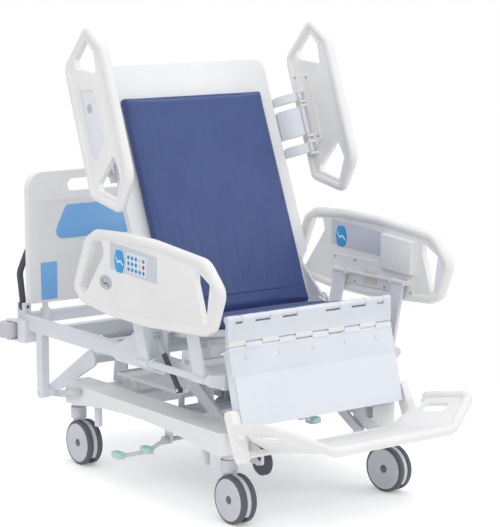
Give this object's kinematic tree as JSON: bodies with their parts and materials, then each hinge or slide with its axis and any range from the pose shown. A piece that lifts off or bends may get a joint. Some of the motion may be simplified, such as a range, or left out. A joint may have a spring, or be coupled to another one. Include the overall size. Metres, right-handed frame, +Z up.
{
  "type": "electric hospital bed",
  "caption": "Electric hospital bed in its chair position: hinged backrest, seat, leg section and footboard on a lever lift, side rails and twin-wheel casters.",
  "frame": {"origin": "middle of the bed on the floor, between the outer faces of the side rails and between the head bumpers and the footboard", "axes": "+X toward the patient left side, +Y toward the head end, +Z up"},
  "size_m": [1.068, 1.9898, 1.726],
  "materials": {
    "frame_coat": "powder-coated steel, satin",
    "base_shell": "moulded shell, fine grain",
    "rail_plastic": "blow-moulded plastic, soft satin",
    "leg_panel": "moulded panel, satin",
    "back_panel": "moulded panel, satin",
    "mattress_cover": "coated polyurethane cover with welded seams",
    "actuator_plastic": "moulded housing",
    "rod_steel": "ground and plated rod",
    "spring_barrel": "painted tube",
    "caster_hood": "moulded nylon",
    "caster_wheel": "soft tread on a moulded hub",
    "fifth_tyre": "solid rubber wheel",
    "bumper_plastic": "moulded roller",
    "handle_grip": "soft moulded grip"
  },
  "bodies": {
    "base": {"base_frame": "frame_coat", "base_cover_right": "base_shell", "base_cover_left": "base_shell", "base_tray": "base_shell", "base_sockets": "frame_coat", "lift_actuator": "actuator_plastic"},
    "lift_rod": {"lift_rod": "rod_steel"},
    "caster_foot_right": {"caster_hood_foot_right": "caster_hood"},
    "caster_foot_left": {"caster_hood_foot_left": "caster_hood"},
    "caster_head_right": {"caster_hood_head_right": "caster_hood"},
    "caster_head_left": {"caster_hood_head_left": "caster_hood"},
    "wheel_a_foot_right": {"wheel_a_foot_right": "caster_wheel"},
    "wheel_b_foot_right": {"wheel_b_foot_right": "caster_wheel"},
    "wheel_a_foot_left": {"wheel_a_foot_left": "caster_wheel"},
    "wheel_b_foot_left": {"wheel_b_foot_left": "caster_wheel"},
    "wheel_a_head_right": {"wheel_a_head_right": "caster_wheel"},
    "wheel_b_head_right": {"wheel_b_head_right": "caster_wheel"},
    "wheel_a_head_left": {"wheel_a_head_left": "caster_wheel"},
    "wheel_b_head_left": {"wheel_b_head_left": "caster_wheel"},
    "brake_pedals": {"brake_pedals": "frame_coat"},
    "rocker_pedals": {"rocker_pedals": "frame_coat"},
    "fifth_wheel_arm": {"fifth_wheel_arm": "frame_coat"},
    "fifth_wheel": {"fifth_wheel": "fifth_tyre"},
    "head_lever": {"head_lever": "frame_coat"},
    "foot_lever": {"foot_lever": "frame_coat"},
    "upper_frame": {"upper_frame": "frame_coat", "shoulder_plates": "frame_coat", "headboard": "rail_plastic", "backrest_actuator": "actuator_plastic", "control_box": "actuator_plastic"},
    "backrest_rod": {"backrest_rod": "rod_steel"},
    "backrest": {"backrest_panel": "back_panel", "backrest_arms": "frame_coat", "backrest_pad": "mattress_cover"},
    "seat": {"seat_deck": "frame_coat", "seat_pad": "mattress_cover"},
    "thigh": {"thigh_deck": "frame_coat", "thigh_pad": "mattress_cover"},
    "leg_upper": {"leg_upper_panel": "leg_panel", "leg_hinge_tabs": "leg_panel"},
    "leg_lower": {"leg_lower_panel": "leg_panel", "footboard_brackets": "frame_coat"},
    "footboard": {"footboard": "rail_plastic"},
    "head_rail_arms_right": {"head_rail_arms_right": "frame_coat"},
    "head_rail_right": {"head_rail_right": "rail_plastic"},
    "foot_rail_arms_right": {"foot_rail_arms_right": "frame_coat"},
    "foot_rail_right": {"foot_rail_right": "rail_plastic"},
    "head_rail_arms_left": {"head_rail_arms_left": "frame_coat"},
    "head_rail_left": {"head_rail_left": "rail_plastic"},
    "foot_rail_arms_left": {"foot_rail_arms_left": "frame_coat"},
    "foot_rail_left": {"foot_rail_left": "rail_plastic"},
    "gas_spring_barrels": {"gas_spring_barrels": "spring_barrel"},
    "gas_spring_rods": {"gas_spring_rods": "rod_steel"},
    "push_handle_right": {"push_handle_right": "handle_grip"},
    "push_handle_left": {"push_handle_left": "handle_grip"},
    "bumper_right": {"bumper_right": "bumper_plastic"},
    "bumper_left": {"bumper_left": "bumper_plastic"}
  },
  "joints": [
    {"name": "lift", "type": "hinge", "parent": "base", "child": "head_lever", "pos_m": [0, 0.44193, 0.425], "axis": [1, 0, 0], "range_deg": [0, 60]},
    {"name": "foot_lever_swing", "type": "hinge", "parent": "base", "child": "foot_lever", "pos_m": [0, -0.13807, 0.425], "axis": [1, 0, 0], "range_deg": [-60, 0]},
    {"name": "frame_level", "type": "hinge", "parent": "head_lever", "child": "upper_frame", "pos_m": [0, 0.77228, 0.23119], "axis": [1, 0, 0], "range_deg": [-60, 0]},
    {"name": "lift_rod_slide", "type": "slide", "parent": "base", "child": "lift_rod", "axis": [0, 1, 0], "range_m": [0, 0.1]},
    {"name": "backrest_raise", "type": "hinge", "parent": "upper_frame", "child": "backrest", "pos_m": [0, -0.10507, 0.661], "axis": [1, 0, 0], "range_deg": [-68, 2]},
    {"name": "backrest_rod_slide", "type": "slide", "parent": "upper_frame", "child": "backrest_rod", "axis": [0, 1, 0], "range_m": [-0.12, 0.01]},
    {"name": "gas_barrel_swing", "type": "hinge", "parent": "upper_frame", "child": "gas_spring_barrels", "pos_m": [0, -0.25807, 0.437], "axis": [1, 0, 0], "range_deg": [-3, 16]},
    {"name": "gas_rod_swing", "type": "hinge", "parent": "backrest", "child": "gas_spring_rods", "pos_m": [0, -0.11207, 0.615], "axis": [1, 0, 0], "range_deg": [-4, 84]},
    {"name": "leg_raise", "type": "hinge", "parent": "thigh", "child": "leg_upper", "pos_m": [0, -0.50183, 0.72588], "axis": [-1, 0, 0], "range_deg": [0, 100]},
    {"name": "seat_tilt", "type": "hinge", "parent": "upper_frame", "child": "seat", "pos_m": [0, -0.10507, 0.661], "axis": [1, 0, 0], "range_deg": [0, 10]},
    {"name": "thigh_raise", "type": "hinge", "parent": "seat", "child": "thigh", "pos_m": [0, -0.25741, 0.63201], "axis": [-1, 0, 0], "range_deg": [0, 12]},
    {"name": "leg_fold", "type": "hinge", "parent": "leg_upper", "child": "leg_lower", "pos_m": [0, -0.50683, 0.63488], "axis": [1, 0, 0], "range_deg": [0, 15]},
    {"name": "footboard_fold", "type": "hinge", "parent": "leg_lower", "child": "footboard", "pos_m": [0, -0.62307, 0.266], "axis": [-1, 0, 0], "range_deg": [-10, 30]},
    {"name": "head_rail_lower_right", "type": "hinge", "parent": "backrest", "child": "head_rail_arms_right", "pos_m": [-0.406, 0.22948, 1.28081], "axis": [0, -0.3746, -0.9272], "range_deg": [0, 84]},
    {"name": "head_rail_level_right", "type": "hinge", "parent": "head_rail_arms_right", "child": "head_rail_right", "pos_m": [-0.482, 0.13861, 1.31752], "axis": [0, -0.3746, -0.9272], "range_deg": [-84, 0]},
    {"name": "head_rail_lower_left", "type": "hinge", "parent": "backrest", "child": "head_rail_arms_left", "pos_m": [0.406, 0.22948, 1.28081], "axis": [0, 0.3746, 0.9272], "range_deg": [0, 84]},
    {"name": "head_rail_level_left", "type": "hinge", "parent": "head_rail_arms_left", "child": "head_rail_left", "pos_m": [0.482, 0.13861, 1.31752], "axis": [0, 0.3746, 0.9272], "range_deg": [-84, 0]},
    {"name": "foot_rail_lower_right", "type": "hinge", "parent": "upper_frame", "child": "foot_rail_arms_right", "pos_m": [-0.43, -0.24807, 0.512], "axis": [0, -1, 0], "range_deg": [0, 150]},
    {"name": "foot_rail_level_right", "type": "hinge", "parent": "foot_rail_arms_right", "child": "foot_rail_right", "pos_m": [-0.482, -0.24807, 0.765], "axis": [0, -1, 0], "range_deg": [-150, 0]},
    {"name": "foot_rail_lower_left", "type": "hinge", "parent": "upper_frame", "child": "foot_rail_arms_left", "pos_m": [0.43, -0.24807, 0.512], "axis": [0, 1, 0], "range_deg": [0, 150]},
    {"name": "foot_rail_level_left", "type": "hinge", "parent": "foot_rail_arms_left", "child": "foot_rail_left", "pos_m": [0.482, -0.24807, 0.765], "axis": [0, 1, 0], "range_deg": [-150, 0]},
    {"name": "brake_pedal_turn", "type": "hinge", "parent": "base", "child": "brake_pedals", "pos_m": [0, -0.05407, 0.199], "axis": [1, 0, 0], "range_deg": [-12, 12]},
    {"name": "rocker_turn", "type": "hinge", "parent": "base", "child": "rocker_pedals", "pos_m": [0, 0.50693, 0.286], "axis": [1, 0, 0], "range_deg": [-10, 10]},
    {"name": "fifth_wheel_lower", "type": "hinge", "parent": "base", "child": "fifth_wheel_arm", "pos_m": [0, -0.06807, 0.238], "axis": [1, 0, 0], "range_deg": [0, 22]},
    {"name": "fifth_wheel_roll", "type": "hinge", "parent": "fifth_wheel_arm", "child": "fifth_wheel", "pos_m": [0, -0.21907, 0.1], "axis": [1, 0, 0], "continuous": true},
    {"name": "swivel_foot_right", "type": "hinge", "parent": "base", "child": "caster_foot_right", "pos_m": [-0.352, -0.49307, 0.224], "axis": [0, 0, 1], "continuous": true},
    {"name": "swivel_foot_left", "type": "hinge", "parent": "base", "child": "caster_foot_left", "pos_m": [0.352, -0.49307, 0.224], "axis": [0, 0, 1], "continuous": true},
    {"name": "swivel_head_right", "type": "hinge", "parent": "base", "child": "caster_head_right", "pos_m": [-0.352, 0.51693, 0.224], "axis": [0, 0, 1], "continuous": true},
    {"name": "swivel_head_left", "type": "hinge", "parent": "base", "child": "caster_head_left", "pos_m": [0.352, 0.51693, 0.224], "axis": [0, 0, 1], "continuous": true},
    {"name": "roll_a_foot_right", "type": "hinge", "parent": "caster_foot_right", "child": "wheel_a_foot_right", "pos_m": [-0.373, -0.53107, 0.0875], "axis": [1, 0, 0], "continuous": true},
    {"name": "roll_b_foot_right", "type": "hinge", "parent": "caster_foot_right", "child": "wheel_b_foot_right", "pos_m": [-0.331, -0.53107, 0.0875], "axis": [1, 0, 0], "continuous": true},
    {"name": "roll_a_foot_left", "type": "hinge", "parent": "caster_foot_left", "child": "wheel_a_foot_left", "pos_m": [0.3372, -0.53388, 0.0875], "axis": [0.9877, 0.1564, 0], "continuous": true},
    {"name": "roll_b_foot_left", "type": "hinge", "parent": "caster_foot_left", "child": "wheel_b_foot_left", "pos_m": [0.37869, -0.52731, 0.0875], "axis": [0.9877, 0.1564, 0], "continuous": true},
    {"name": "roll_a_head_right", "type": "hinge", "parent": "caster_head_right", "child": "wheel_a_head_right", "pos_m": [-0.373, 0.47893, 0.0875], "axis": [1, 0, 0], "continuous": true},
    {"name": "roll_b_head_right", "type": "hinge", "parent": "caster_head_right", "child": "wheel_b_head_right", "pos_m": [-0.331, 0.47893, 0.0875], "axis": [1, 0, 0], "continuous": true},
    {"name": "roll_a_head_left", "type": "hinge", "parent": "caster_head_left", "child": "wheel_a_head_left", "pos_m": [0.331, 0.47893, 0.0875], "axis": [1, 0, 0], "continuous": true},
    {"name": "roll_b_head_left", "type": "hinge", "parent": "caster_head_left", "child": "wheel_b_head_left", "pos_m": [0.373, 0.47893, 0.0875], "axis": [1, 0, 0], "continuous": true},
    {"name": "push_handle_fold_right", "type": "hinge", "parent": "upper_frame", "child": "push_handle_right", "pos_m": [-0.333, 0.97093, 0.556], "axis": [0, 1, 0], "range_deg": [0, 80]},
    {"name": "push_handle_fold_left", "type": "hinge", "parent": "upper_frame", "child": "push_handle_left", "pos_m": [0.333, 0.97093, 0.556], "axis": [0, -1, 0], "range_deg": [0, 80]},
    {"name": "bumper_roll_right", "type": "hinge", "parent": "upper_frame", "child": "bumper_right", "pos_m": [-0.41, 0.95693, 0.437], "axis": [0, 0, 1], "continuous": true},
    {"name": "bumper_roll_left", "type": "hinge", "parent": "upper_frame", "child": "bumper_left", "pos_m": [0.41, 0.95693, 0.437], "axis": [0, 0, 1], "continuous": true}
  ],
  "couplings": [
    {"joint": "foot_lever_swing", "follows": "lift", "ratio": -1},
    {"joint": "frame_level", "follows": "lift", "ratio": -1},
    {"joint": "lift_rod_slide", "follows": "lift", "m_per_rad": 0.090718},
    {"joint": "backrest_rod_slide", "follows": "backrest_raise", "m_per_rad": 0.094234},
    {"joint": "gas_barrel_swing", "follows": "backrest_raise", "ratio": -0.18469},
    {"joint": "gas_rod_swing", "follows": "backrest_raise", "ratio": -1.1847},
    {"joint": "seat_tilt", "follows": "leg_raise", "ratio": 0.1},
    {"joint": "leg_fold", "follows": "leg_raise", "ratio": 0.15},
    {"joint": "head_rail_level_right", "follows": "head_rail_lower_right", "ratio": -1},
    {"joint": "head_rail_level_left", "follows": "head_rail_lower_left", "ratio": -1},
    {"joint": "foot_rail_level_right", "follows": "foot_rail_lower_right", "ratio": -1},
    {"joint": "foot_rail_level_left", "follows": "foot_rail_lower_left", "ratio": -1}
  ]
}
